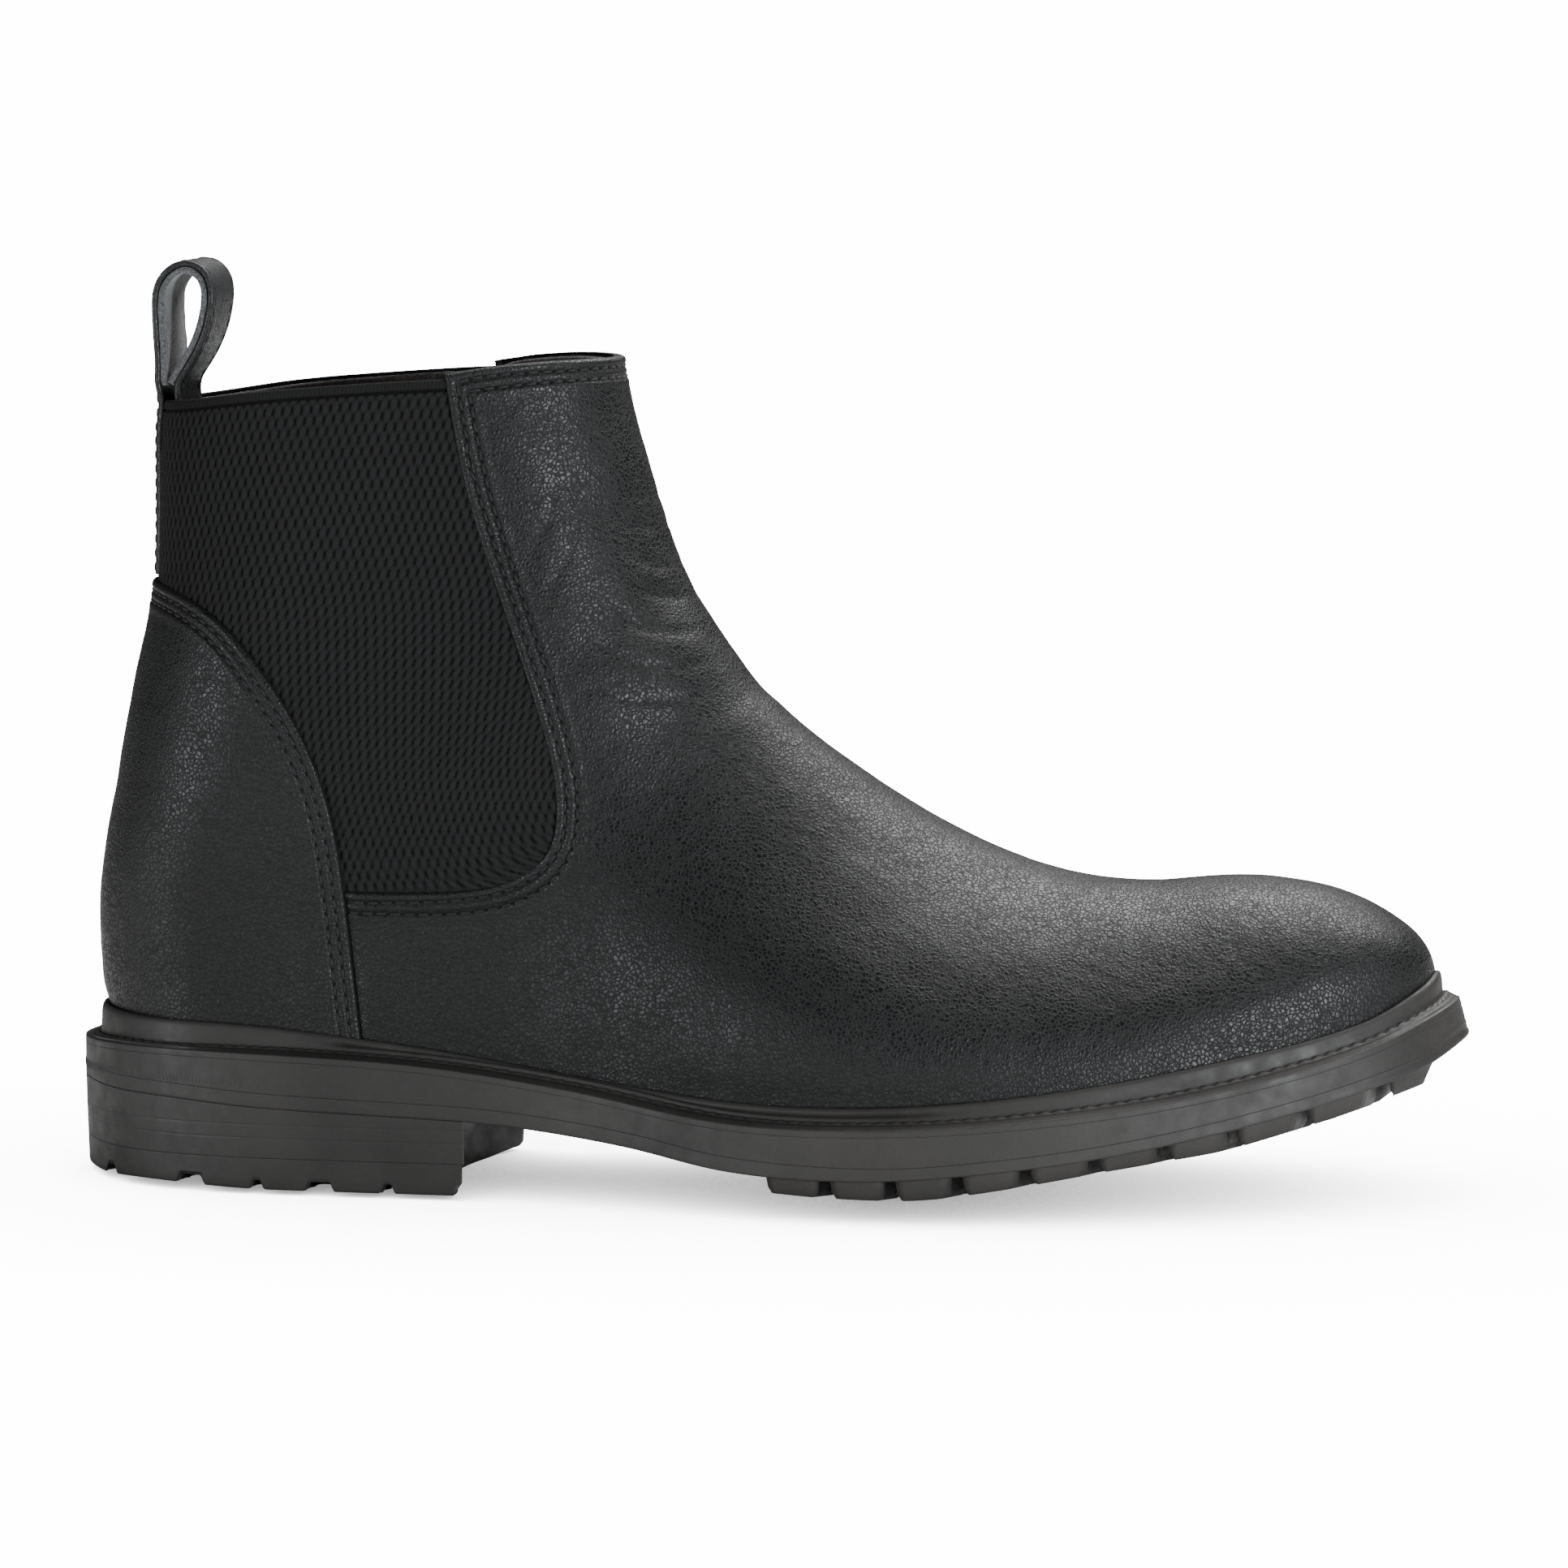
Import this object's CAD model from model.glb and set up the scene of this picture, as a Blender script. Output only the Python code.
import math

import bpy
import numpy as np
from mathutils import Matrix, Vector
from mathutils.bvhtree import BVHTree
from mathutils.kdtree import KDTree


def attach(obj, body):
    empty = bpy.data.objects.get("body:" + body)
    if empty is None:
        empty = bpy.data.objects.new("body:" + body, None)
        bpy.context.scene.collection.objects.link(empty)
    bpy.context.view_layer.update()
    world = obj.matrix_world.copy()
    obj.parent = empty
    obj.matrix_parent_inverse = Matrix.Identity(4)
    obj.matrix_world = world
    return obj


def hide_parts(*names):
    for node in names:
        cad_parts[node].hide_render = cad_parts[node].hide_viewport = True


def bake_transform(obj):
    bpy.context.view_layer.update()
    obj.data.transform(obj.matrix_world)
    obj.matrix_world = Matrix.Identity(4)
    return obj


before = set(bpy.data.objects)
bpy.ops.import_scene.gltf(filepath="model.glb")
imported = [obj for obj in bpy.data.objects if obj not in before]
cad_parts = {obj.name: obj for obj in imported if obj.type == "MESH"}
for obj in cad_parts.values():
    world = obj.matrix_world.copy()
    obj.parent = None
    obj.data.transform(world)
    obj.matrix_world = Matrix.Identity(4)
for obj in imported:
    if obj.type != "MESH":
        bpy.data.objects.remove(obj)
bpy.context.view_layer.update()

# The script works in millimetres, as the boot's own drawing does, and meshes are made in metres.
MM = 0.001

# ---- lines of the boot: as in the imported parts, but the toe's feather is lower and some ends moved
HEEL_END = (-151.5, 0.0)
TOE_END = (151.6, 9.0)
SOLE_PLAN = [
    (-147, -14, 14), (-138, -25.5, 25.5), (-120, -34, 34), (-100, -36.5, 36),
    (-75, -37, 35.5), (-50, -38, 34), (-25, -43, 34.5), (0, -49.5, 39),
    (25, -53.3, 46.5), (50, -52.5, 51.5), (75, -48, 53.5), (100, -40, 51.5),
    (120, -30.5, 45.5), (135, -20.5, 37), (145, -10, 27.5),
]
LEDGE = [
    (-170, 29.2), (-151, 29.6), (-138, 30.7), (-107, 30.7), (-72, 29.3), (-35, 25.2),
    (0, 20.6), (36, 20.7), (70, 23.3), (102, 28.0), (134, 35.8), (152, 43.0), (170, 50.5),
]
FEATHER = [
    (-170, 37.2), (-140, 37.0), (-109, 36.1), (-73, 32.6), (-37, 27.5), (0, 24.2),
    (35, 24.6), (70, 27.9), (102, 33.2), (135, 40.4), (150, 47.6), (170, 59.0),
]
SIDEWALL_FOOT = [
    (-170, 21.5), (-127, 20.3), (-104, 18.9), (-60, 17.3), (-43, 16.1), (-22, 13.8),
    (0, 10.3), (28, 9.2), (45, 10.0), (79, 14.2), (112, 20.9), (143, 29.6), (153, 35.0),
    (170, 43.0),
]
TREAD_LINE = [
    (-20, 2.0), (8, 0.8), (22, 0.0), (40, 0.0), (52, 1.5), (66, 4.1), (78, 6.6), (91, 9.2),
    (104, 11.9), (115, 15.4), (129, 20.3), (145, 27.2), (155, 31.5),
]
COLLAR_LINE = [(-160, 167.8), (-130, 169.4), (-109, 172), (-91, 173.6), (-73, 174.9), (-50, 176.0)]
VAMP_TOP = [(-80, 175.0), (-64, 176.5), (-55, 178), (-40, 179.1), (-15, 179.1)]
GORE_FRONT = [
    (-64.9, 179.0), (-62.8, 166.3), (-59.8, 152.6), (-50.7, 125.2), (-42.6, 101.3),
    (-39.5, 84.1), (-41.4, 75.4), (-47.1, 70.1), (-64.8, 65.8), (-93.0, 65.7),
]
QUARTER_EDGE = [
    (-139, 130.6), (-131.6, 129.9), (-122.1, 127.6), (-113.2, 122.7), (-105.1, 114.5),
    (-98.4, 105.2), (-92.7, 94.2), (-88.9, 83.0), (-86.3, 65.7), (-84.4, 46.3), (-82.0, 25),
]
RULINGS = np.array([
    (-31.5, 187, -132.2, 178, 42, 34), (-30.6, 175, -133.4, 167, 42, 34),
    (-27.6, 162, -134.1, 152, 42, 34), (-23.4, 147.5, -134.2, 137, 44, 34),
    (-18, 133, -135.5, 124, 46, 34), (-11, 121.5, -139.2, 108, 50, 34),
    (-5.5, 113.5, -143.4, 86, 54, 34), (-1, 108, -147.5, 60, 58, 32),
    (3, 104.5, -145.9, 38, 60, 30), (8, 100, -135, 26, 62, 20),
    (15.5, 94, -104, 25, 62, 8), (26, 86.5, -64, 21, 60, 8), (38, 79.5, -28, 16.5, 56, 8),
    (52, 73.2, 10, 13.5, 52, 8), (68, 68.6, 45, 14.5, 48, 8), (85, 67.2, 75, 18, 44, 8),
    (103, 68.4, 101, 23, 40, 8), (118, 67.3, 118.5, 28, 34, 8), (129, 63.8, 130, 32.5, 28, 8),
    (136.6, 59, 137, 36, 20, 7), (141.4, 53.5, 141.4, 38.5, 11, 5), (143.7, 48.5, 143.7, 42, 4.5, 3),
], float)
RIDGE_LEAN = [(-35, 0), (0, 1.5), (60, 3.5), (100, 6), (145, 8.5)]
SHAFT_HALF = [(30, 31), (70, 33), (100, 33), (130, 31), (170, 28), (190, 27)]
SHAFT_FROM, SHAFT_TO, HEEL_STRAIGHT = 42.0, 95.0, -100.0
FEATHER_INSET = 6.8
ROUND_POWER = 2.0
LAST = len(RULINGS) - 1


# ---- curves ----------------------------------------------------------------------------------
def line_through(points):
    """Smooth function through (position, value) points, level beyond its ends."""
    xs, ys = np.array(points, float).T
    before = np.maximum(np.arange(len(xs)) - 1, 0)
    after = np.minimum(np.arange(len(xs)) + 1, len(xs) - 1)
    slopes = (ys[after] - ys[before]) / (xs[after] - xs[before])

    def value(x):
        x = np.clip(x, xs[0], xs[-1])
        i = np.clip(np.searchsorted(xs, x, side="right") - 1, 0, len(xs) - 2)
        h = xs[i + 1] - xs[i]
        t = (x - xs[i]) / h
        return ((1 + 2 * t) * (1 - t) ** 2 * ys[i] + t * (1 - t) ** 2 * h * slopes[i]
                + t * t * (3 - 2 * t) * ys[i + 1] - t * t * (1 - t) * h * slopes[i + 1])

    return value


def run_length(points):
    """Distance along a row of points, from 0 at the first."""
    return np.concatenate([[0], np.cumsum(np.linalg.norm(np.diff(points, axis=0), axis=1))])


def spline_coefficients(knots, values, closed):
    """Second derivatives of the cubic spline through the values."""
    n = len(knots)
    h = np.diff(knots)
    matrix = np.zeros((n, n))
    right = np.zeros((n, values.shape[1]))
    for i in range(1, n - 1):
        matrix[i, i - 1:i + 2] = h[i - 1], 2 * (h[i - 1] + h[i]), h[i]
        right[i] = 6 * ((values[i + 1] - values[i]) / h[i] - (values[i] - values[i - 1]) / h[i - 1])
    if closed:
        matrix[0, 0], matrix[0, -1] = 1, -1
        matrix[-1, [0, 1, -2, -1]] = 2 * h[0], h[0], h[-1], 2 * h[-1]
        right[-1] = 6 * ((values[1] - values[0]) / h[0] - (values[-1] - values[-2]) / h[-1])
    else:
        matrix[0, 0] = matrix[-1, -1] = 1
    return np.linalg.solve(matrix, right)


def curve_points(points, step, closed=False):
    """Evenly spaced points on the smooth curve through the given ones."""
    values = np.array(points, float)
    if closed:
        values = np.vstack([values, values[:1]])
    knots = run_length(values)
    bend = spline_coefficients(knots, values, closed)

    def at(s):
        i = np.clip(np.searchsorted(knots, s, side="right") - 1, 0, len(knots) - 2)
        h = (knots[i + 1] - knots[i])[:, None]
        a = (knots[i + 1] - s)[:, None] / h
        b = 1 - a
        return (a * values[i] + b * values[i + 1]
                + ((a ** 3 - a) * bend[i] + (b ** 3 - b) * bend[i + 1]) * h * h / 6)

    fine = at(np.linspace(0, knots[-1], 4000))
    length = run_length(fine)
    count = max(int(round(length[-1] / step)), 8)
    wanted = np.linspace(0, length[-1], count + 1)
    if closed:
        wanted = wanted[:-1]
    return np.stack([np.interp(wanted, length, fine[:, k]) for k in range(values.shape[1])], axis=1)


def left_of(path):
    """Unit vectors to the left of a path that lies in a plane."""
    ahead = np.gradient(path, axis=0)
    ahead /= np.linalg.norm(ahead, axis=1)[:, None]
    return np.stack([-ahead[:, 1], ahead[:, 0]], axis=1)


def plan_loop(step):
    """The sole's outline seen from above, anticlockwise from the back of the heel."""
    lateral = [(x, low) for x, low, high in SOLE_PLAN]
    medial = [(x, high) for x, low, high in SOLE_PLAN]
    return curve_points([HEEL_END] + lateral + [TOE_END] + medial[::-1], step, closed=True)


def inward(loop):
    """Unit vectors from a closed outline into what it bounds."""
    ahead = np.roll(loop, -1, axis=0) - np.roll(loop, 1, axis=0)
    ahead /= np.linalg.norm(ahead, axis=1)[:, None]
    return np.stack([-ahead[:, 1], ahead[:, 0]], axis=1)


def plan_edges(inset):
    """Lateral and medial y of the sole's outline, drawn in, as functions of x."""
    loop = plan_loop(1.0)
    loop = loop + inward(loop) * inset
    heel, toe = loop[:, 0].argmin(), loop[:, 0].argmax()
    loop = np.roll(loop, -heel, axis=0)
    toe = (toe - heel) % len(loop)
    lateral, medial = loop[:toe + 1], np.vstack([loop[toe:], loop[:1]])[::-1]
    return (lambda x: np.interp(x, lateral[:, 0], lateral[:, 1]),
            lambda x: np.interp(x, medial[:, 0], medial[:, 1]))


ledge_z = line_through(LEDGE)
feather_z = line_through(FEATHER)
foot_z = line_through(SIDEWALL_FOOT)
tread_z = line_through(TREAD_LINE)
collar_z = line_through(COLLAR_LINE)
vamp_top_z = line_through(VAMP_TOP)
ridge_y = line_through(RIDGE_LEAN)
shaft_half = line_through(SHAFT_HALF)
foot_lateral, foot_medial = plan_edges(FEATHER_INSET)


# ---- the upper's surface ---------------------------------------------------------------------
def ruling(u):
    """The six numbers of the ruling at station u, smooth between the given ones."""
    i = np.clip(np.floor(u).astype(int), 0, LAST - 1)
    t = (u - i)[..., None]
    before, after = RULINGS[np.maximum(i - 1, 0)], RULINGS[np.minimum(i + 2, LAST)]
    here, there = RULINGS[i], RULINGS[i + 1]
    m0 = (there - before) / np.where(i == 0, 1, 2)[..., None]
    m1 = (after - here) / np.where(i == LAST - 1, 1, 2)[..., None]
    return ((1 + 2 * t) * (1 - t) ** 2 * here + t * (1 - t) ** 2 * m0
            + t * t * (3 - 2 * t) * there - t * t * (1 - t) * m1)


def rounded(distance, length):
    """Share of the full width at a distance from a rounded edge."""
    t = np.clip(distance / length, 0, 1)
    return np.sqrt(np.maximum(1 - (1 - t) ** ROUND_POWER, 0))


def smoothstep(x, low, high):
    t = np.clip((x - low) / (high - low), 0, 1)
    return t * t * (3 - 2 * t)


def upper_point(u, phi, depth=0.0):
    """Point of the upper at station u and angle phi: 0 on the ridge, 1 and -1 at the back;
    positive on the lateral side."""
    rx, rz, bx, bz, ridge_round, base_round = np.moveaxis(ruling(u), -1, 0)
    length = np.hypot(bx - rx, bz - rz)
    ux, uz = (bx - rx) / length, (bz - rz) / length
    pull = np.clip((rx - 118) / 26, 0, 1) * depth
    inner = length - 2 * depth
    s = (1 - np.cos(np.pi * np.abs(phi))) / 2 * inner
    x = rx + ux * (depth + s) - pull
    z = rz + uz * (depth + s)
    shape = rounded(s, ridge_round - depth / 2) * rounded(inner - s, base_round - depth / 2)
    y0 = ridge_y(x)
    w = smoothstep(z, SHAFT_FROM, SHAFT_TO)
    held = np.maximum(x, HEEL_STRAIGHT)
    low = foot_lateral(held) * (1 - w) - shaft_half(z) * w + depth
    high = foot_medial(held) * (1 - w) + shaft_half(z) * w - depth
    y = y0 + (np.where(phi > 0, low, high) - y0) * shape
    return np.stack([x, y, z], axis=-1)


def places(params):
    """Surface points for rows that start with a station and an angle."""
    return upper_point(params[:, 0], params[:, 1])


def upper_frame(u, phi):
    """Position, outward normal of the upper at the given parameters."""
    du, dp = 0.02, 0.004
    at = upper_point(u, phi)
    u0, u1 = np.maximum(u - du, 0), np.minimum(u + du, LAST)
    along = upper_point(u1, phi) - upper_point(u0, phi)
    p0, p1 = np.clip(phi - dp, -1, 1), np.clip(phi + dp, -1, 1)
    around = upper_point(u, p1) - upper_point(u, p0)
    normal = np.cross(around, along)
    normal /= np.maximum(np.linalg.norm(normal, axis=-1), 1e-9)[..., None]
    return at, normal


def locate(x, z, side):
    """Parameters of the point of one side (1 lateral, -1 medial) seen at x and z from the side."""
    low, high = np.zeros_like(x), np.full_like(x, float(LAST))
    for _ in range(40):
        mid = (low + high) / 2
        rx, rz, bx, bz = np.moveaxis(ruling(mid), -1, 0)[:4]
        above = (bx - rx) * (z - rz) - (bz - rz) * (x - rx) < 0
        low, high = np.where(above, low, mid), np.where(above, mid, high)
    u = (low + high) / 2
    rx, rz, bx, bz = np.moveaxis(ruling(u), -1, 0)[:4]
    length2 = (bx - rx) ** 2 + (bz - rz) ** 2
    t = np.clip(((x - rx) * (bx - rx) + (z - rz) * (bz - rz)) / length2, 0, 1)
    return u, side * np.arccos(1 - 2 * t) / np.pi


def inside(x, z, outline):
    """Which points lie inside a closed outline of the side view."""
    px, pz = outline.T
    qx, qz = np.roll(px, -1), np.roll(pz, -1)
    result = np.zeros(x.shape, bool)
    for ax, az, bx, bz in zip(px, pz, qx, qz):
        if az == bz:
            continue
        crosses = (az > z) != (bz > z)
        result ^= crosses & (x < (bx - ax) * (z - az) / (bz - az) + ax)
    return result


# ---- meshes ----------------------------------------------------------------------------------
def make_piece(name, points, faces, material, body="boot", **shares):
    """Smooth-shaded mesh object from points in millimetres, riding on a body."""
    mesh = bpy.data.meshes.new(name)
    mesh.from_pydata((np.asarray(points) * MM).tolist(), [], [tuple(f) for f in faces])
    mesh.validate()
    mesh.polygons.foreach_set("use_smooth", [True] * len(mesh.polygons))
    mesh.materials.append(material)
    piece = bpy.data.objects.new(name, mesh)
    bpy.context.scene.collection.objects.link(piece)
    for kind, values in shares.items():
        mesh.attributes.new(kind, "FLOAT", "POINT").data.foreach_set("value", values)
    if body:
        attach(piece, body)
    return piece


def grid_faces(rows, columns, closed=False, flip=False):
    """Quads of a grid of points numbered row by row."""
    last = columns if closed else columns - 1
    i, j = np.meshgrid(np.arange(rows - 1), np.arange(last), indexing="ij")
    k = (j + 1) % columns
    quads = np.stack([i * columns + j, i * columns + k, (i + 1) * columns + k,
                      (i + 1) * columns + j], axis=-1).reshape(-1, 4)
    return quads[:, ::-1] if flip else quads


def joined(parts):
    """Several (points, faces) meshes as one."""
    points, faces = [], []
    for more_points, more_faces in parts:
        first = len(points)
        points += list(more_points)
        faces += [[first + i for i in face] for face in more_faces]
    return points, faces


def used_only(params, faces):
    """Drops the points that no face uses."""
    flat = np.fromiter((i for f in faces for i in f), int)
    keep = np.unique(flat)
    renumber = np.full(len(params), -1)
    renumber[keep] = np.arange(len(keep))
    return params[keep], [[renumber[i] for i in f] for f in faces], renumber


def cut(params, faces, values):
    """Keeps the part of a mesh where the values are positive, and gives its new rim edges."""
    values = np.where(np.abs(values) < 0.1, np.where(values < 0, -0.1, 0.1), values)
    kept = (values > 0).tolist()
    added, seen, faces_out, rim = [], {}, [], []

    def crossing(a, b):
        key = (a, b) if a < b else (b, a)
        if key not in seen:
            t = values[key[0]] / (values[key[0]] - values[key[1]])
            seen[key] = len(params) + len(added)
            added.append(params[key[0]] * (1 - t) + params[key[1]] * t)
        return seen[key]

    for face in faces:
        flags = [kept[i] for i in face]
        if all(flags):
            faces_out.append(list(face))
            continue
        if not any(flags):
            continue
        shape, fresh = [], []
        for k, a in enumerate(face):
            b = face[(k + 1) % len(face)]
            if kept[a]:
                shape.append(a)
            if kept[a] != kept[b]:
                c = crossing(a, b)
                shape.append(c)
                fresh.append((c, kept[a]))
        faces_out.append(shape)
        leaving = [c for c, left in fresh if left]
        entering = [c for c, left in fresh if not left]
        rim += list(zip(leaving, entering)) if len(leaving) == 1 else []
    if added:
        params = np.vstack([params, np.array(added)])
    params, faces_out, renumber = used_only(params, faces_out)
    return params, faces_out, [(renumber[a], renumber[b]) for a, b in rim]


def tree_of(points):
    tree = KDTree(len(points))
    for i, p in enumerate(points):
        tree.insert(p, i)
    tree.balance()
    return tree


class Edge:
    """A cut edge of the upper: a side view line followed on both sides of the boot."""

    def __init__(self, line):
        flat = curve_points(line, 0.25)
        self.params = np.vstack([
            np.stack(locate(flat[:, 0], flat[:, 1], side), axis=1) for side in (1, -1)])
        self.tree = tree_of(places(self.params))

    def nearest(self, points):
        found = [self.tree.find(p)[1:] for p in points]
        return np.array([i for i, d in found]), np.array([d for i, d in found])


def top_station(phi, height):
    """Station where the upper meets a top line, at each angle."""
    low, high = np.zeros_like(phi), np.full_like(phi, 6.0)
    for _ in range(40):
        mid = (low + high) / 2
        p = upper_point(mid, phi)
        above = p[:, 2] > height(p[:, 0])
        low, high = np.where(above, mid, low), np.where(above, high, mid)
    return (low + high) / 2


def stations(first, fine, fine_step, step, last=LAST):
    """Fractions of the way down the upper: dense rows near the top, then even ones."""
    u = np.linspace(first, last, 2000)
    paths = [np.linalg.norm(np.diff(upper_point(u, np.full_like(u, p)), axis=0), axis=1)
             for p in (0.02, 0.5, 0.98)]
    length = np.concatenate([[0], np.cumsum(np.mean(paths, axis=0))])
    near = np.arange(0, fine, fine_step)
    rest = np.linspace(fine, length[-1], int((length[-1] - fine) / step) + 1)
    return (np.interp(np.concatenate([near, rest]), length, u) - first) / (last - first)


def upper_grid(phi, height, fine=7.0, fine_step=0.35, step=1.0, last=LAST, drops=()):
    """A grid over the upper, its points given as (station, angle, drop below the surface).

    The first row is on the top line; the drops are rows before it that carry the edge
    down into its thickness."""
    top = top_station(phi, height)
    w = stations(top.mean(), fine, fine_step, step, last)
    u = top[None, :] + (last - top[None, :]) * w[:, None]
    params = np.stack([u, np.broadcast_to(phi, u.shape), np.zeros_like(u)], axis=-1)
    rim = np.repeat(params[:1], len(drops), axis=0)
    rim[:, :, 2] = np.array(drops, float)[:, None]
    params = np.concatenate([rim, params])
    return params.reshape(-1, 3), grid_faces(len(params), len(phi)).tolist()


def add_strip(params, faces, rim, edge, width, profile):
    """Carries a mesh from its rim to a cut edge in rows of (distance left, drop)."""
    corners = sorted({i for pair in rim for i in pair})
    order = {c: k for k, c in enumerate(corners)}
    base = params[corners]
    near, _ = edge.nearest(places(base))
    goal = edge.params[near]
    same = np.sign(goal[:, 1]) == np.sign(base[:, 1])
    faces = list(faces)
    blocks = [params]
    first = len(params)
    previous = np.array(corners)
    for left, drop in profile:
        row = base.copy()
        row[:, :2] += (goal - base[:, :2]) * (1 - left / width)
        row[:, 2] = drop
        blocks.append(row)
        current = first + np.arange(len(corners))
        for a, b in rim:
            if same[order[a]] and same[order[b]]:
                ka, kb = order[a], order[b]
                faces.append([previous[kb], previous[ka], current[ka], current[kb]])
        previous = current
        first += len(corners)
    return np.vstack(blocks), faces


def signed(points, edge, outline):
    """Distance to an edge, positive outside the outline that it bounds."""
    _, distance = edge.nearest(points)
    return np.where(inside(points[:, 0], points[:, 2], outline), -distance, distance)


def waves(points, size, seed, count=26):
    """Smooth irregular relief between about -1 and 1 with bumps of the given size."""
    rng = np.random.default_rng(seed)
    direction = rng.normal(size=(count, 3))
    direction /= np.linalg.norm(direction, axis=1)[:, None]
    pitch = size * rng.uniform(0.7, 1.6, count)
    angle = points @ (direction / pitch[:, None]).T * 2 * math.pi + rng.uniform(0, 6.28, count)
    return np.sin(angle).sum(axis=1) / math.sqrt(count) * 1.2


# ---- leather panels --------------------------------------------------------------------------
PANEL_STRIP = 7.0
EDGE_ROUND = 0.7
STITCH_ROWS = (2.2, 4.4)
STRIP_PROFILE = [(d, 0.0) for d in (
    6.4, 5.9, 5.5, 5.15, 4.85, 4.6, 4.4, 4.2, 3.95, 3.65, 3.3, 2.95, 2.65, 2.4, 2.2, 2.0, 1.75, 1.45,
    1.15, 0.9, 0.7, 0.5, 0.33, 0.18, 0.07, 0.0)] + [(0.0, 0.4), (0.0, 0.9), (0.0, 1.5), (1.6, 1.7)]
RIM_DROPS = (1.6, 0.9, 0.4)
VAMP_UNDERLAP, GORE_UNDERLAP = 3.0, 2.6
LEATHER_FOOT, LINING_FOOT = 1.2, 2.0      # the panels end this far above the ledge
LINING_DEPTH = 3.4


def seam_profile(distance):
    """Height of leather near a folded, double-stitched edge."""
    near = np.clip(EDGE_ROUND - distance, 0, EDGE_ROUND)
    height = np.sqrt(np.maximum(EDGE_ROUND ** 2 - near ** 2, 0)) - EDGE_ROUND
    height += 0.14 * np.exp(-((distance - 1.1) / 0.6) ** 2)
    for row in STITCH_ROWS:
        height -= 0.34 * np.exp(-((distance - row) / 0.45) ** 2)
    height += 0.05 * np.exp(-((distance - 3.3) / 0.5) ** 2)
    height += 0.16 * np.exp(-((distance - 5.6) / 0.9) ** 2)
    return height


def groove_share(distance):
    """How deep in a stitched groove or over the edge a point lies, 0 to 1."""
    share = 0.9 * np.exp(-(distance / 0.22) ** 2)
    for row in STITCH_ROWS:
        share = np.maximum(share, 0.8 * np.exp(-((distance - row) / 0.42) ** 4))
    return share


# Creases in the leather at the front of the ankle: side view line, width and depth
CREASES = [
    ([(-43, 158), (-33, 149), (-27, 142), (-18, 137)], 5.0, 0.65),
    ([(-40, 114), (-30, 121), (-21, 125.5), (-12, 130)], 5.5, 0.65),
    ([(-30, 152), (-25, 149), (-20, 149)], 0.9, 0.26),
    ([(-30, 146), (-24, 143), (-18, 143)], 0.9, 0.34),
    ([(-28, 139), (-22, 135), (-16, 134)], 0.9, 0.34),
    ([(-27, 133), (-21, 129), (-14, 128)], 1.0, 0.36),
    ([(-30, 128), (-22, 122), (-12, 121)], 1.1, 0.34),
    ([(-34, 121), (-24, 115), (-10, 114)], 1.1, 0.34),
    ([(-38, 113), (-26, 108), (-8, 108)], 1.2, 0.26),
    ([(-47, 136), (-43, 144), (-41, 152)], 1.0, 0.2),
    ([(-43, 128), (-38, 140), (-36, 150)], 1.0, 0.18),
]


def creases(points):
    """Folds across the instep, deepest at the ridge's flanks."""
    height = np.zeros(len(points))
    near = np.flatnonzero((points[:, 0] > -60) & (points[:, 0] < 30) & (points[:, 2] > 80))
    flat = points[near][:, [0, 2]]
    for line, width, depth in CREASES:
        path = curve_points(line, 0.5)
        gaps = np.linalg.norm(flat[:, None, :] - path[None, :, :], axis=2)
        k = gaps.argmin(axis=1)
        distance = gaps[np.arange(len(flat)), k]
        fade = np.sin(np.pi * (k + 1) / (len(path) + 1)) ** 0.7
        height[near] -= depth * fade * np.exp(-(distance / width) ** 2)
        height[near] += 0.12 * depth * fade * np.exp(-((distance - 2.2 * width) / width) ** 2)
    return height * (0.4 + 0.6 * smoothstep(np.abs(points[:, 1]), 0, 12))


def leather_relief(points):
    """Soft unevenness of the panels: broad dents, the fullness over the feather, creases."""
    over = points[:, 2] - feather_z(points[:, 0])
    fullness = 1.0 * np.exp(-((over - 11) / 9.0) ** 2) * smoothstep(points[:, 0], -60, 10)
    broad = 0.26 * waves(points, 46, 3) + 0.06 * waves(points, 15, 4)
    fine = 0.02 * waves(points * [1, 1, 1.3], 4.5, 5)
    calm = smoothstep(over, 1, 9)
    return fullness * smoothstep(over, -1, 6) + (broad + fine) * calm + creases(points)


def outline_of(line, *corners):
    """Closed outline of the side view: a smooth line, then straight to each corner."""
    return np.vstack([curve_points(line, 1.0), np.array(corners, float)])


gore_edge = Edge(GORE_FRONT)
quarter_edge = Edge(QUARTER_EDGE)
WINDOW = outline_of(GORE_FRONT, (-250, 65.7), (-250, 260), (-64.9, 260))
BEHIND_QUARTER = outline_of(QUARTER_EDGE, (-82, -50), (-250, -50), (-250, 130.6))


def outside_window(points):
    return signed(points, gore_edge, WINDOW)


def ahead_of_quarter(points):
    return signed(points, quarter_edge, BEHIND_QUARTER)


def above_ledge(gap):
    return lambda points: points[:, 2] - ledge_z(points[:, 0]) - gap


def trim(params, faces, share):
    """Keeps the part of a panel where a function of its surface points is positive."""
    return cut(params, faces, share(places(params)))


def side_angles(first, count, side):
    """Angles over one side, in the order that turns its faces outward."""
    phi = np.linspace(first, 1, count) * side
    return phi if side > 0 else phi[::-1]


def panel_points(params, height):
    """Positions of a panel's points, raised by their height and lowered by their drop."""
    at, normal = upper_frame(params[:, 0], params[:, 1])
    return at + normal * (height - params[:, 2])[:, None]


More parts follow.
